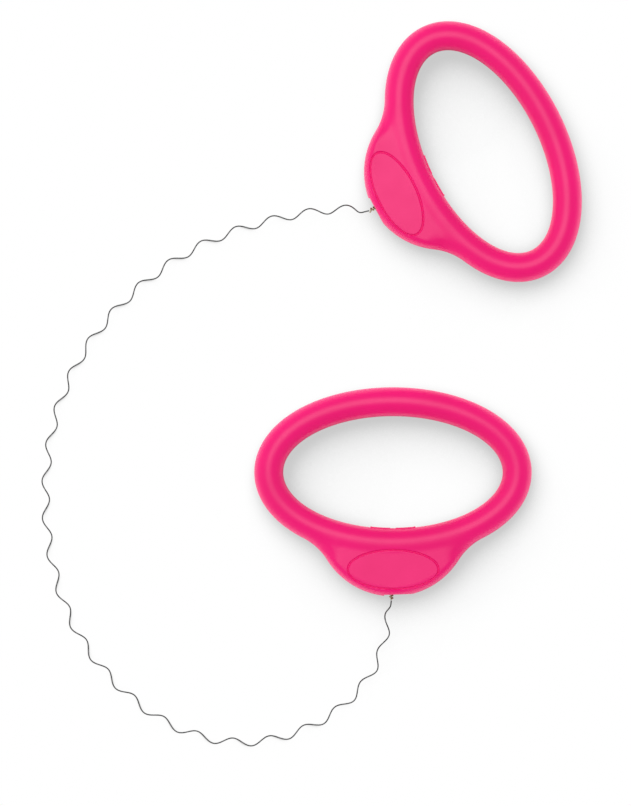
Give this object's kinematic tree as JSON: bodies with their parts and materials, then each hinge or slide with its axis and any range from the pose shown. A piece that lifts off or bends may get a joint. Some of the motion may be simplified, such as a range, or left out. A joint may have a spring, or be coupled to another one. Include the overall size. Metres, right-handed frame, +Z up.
{
  "type": "wire clay cutter",
  "caption": "Wire clay cutter: two ring handles whose chins hold the ends of a long, springy curled steel wire.",
  "frame": {"origin": "on the table, below the middle of the box round the two handles", "axes": "+Z up off the table, +Y from the lower handle towards the upper one, +X to the right"},
  "size_m": [0.1955, 0.2623, 0.0105],
  "materials": {
    "urethane": "satin",
    "spring_wire": "polished"
  },
  "bodies": {
    "wire": {"curly_wire": "spring_wire"},
    "upper_grip": {"upper_handle": "urethane", "upper_wire_eye": "spring_wire"},
    "lower_grip": {"lower_handle": "urethane", "lower_wire_eye": "spring_wire"}
  },
  "joints": [
    {"name": "upper_swing", "type": "hinge", "parent": "wire", "child": "upper_grip", "pos_m": [-0.01743, 0.03608, 0.00525], "axis": [0, 0, 1], "range_deg": [-45, 45], "stiffness_Nm_per_rad": 0.02},
    {"name": "lower_swing", "type": "hinge", "parent": "wire", "child": "lower_grip", "pos_m": [-0.00966, -0.1046, 0.00525], "axis": [0, 0, 1], "range_deg": [-45, 45], "stiffness_Nm_per_rad": 0.02}
  ]
}
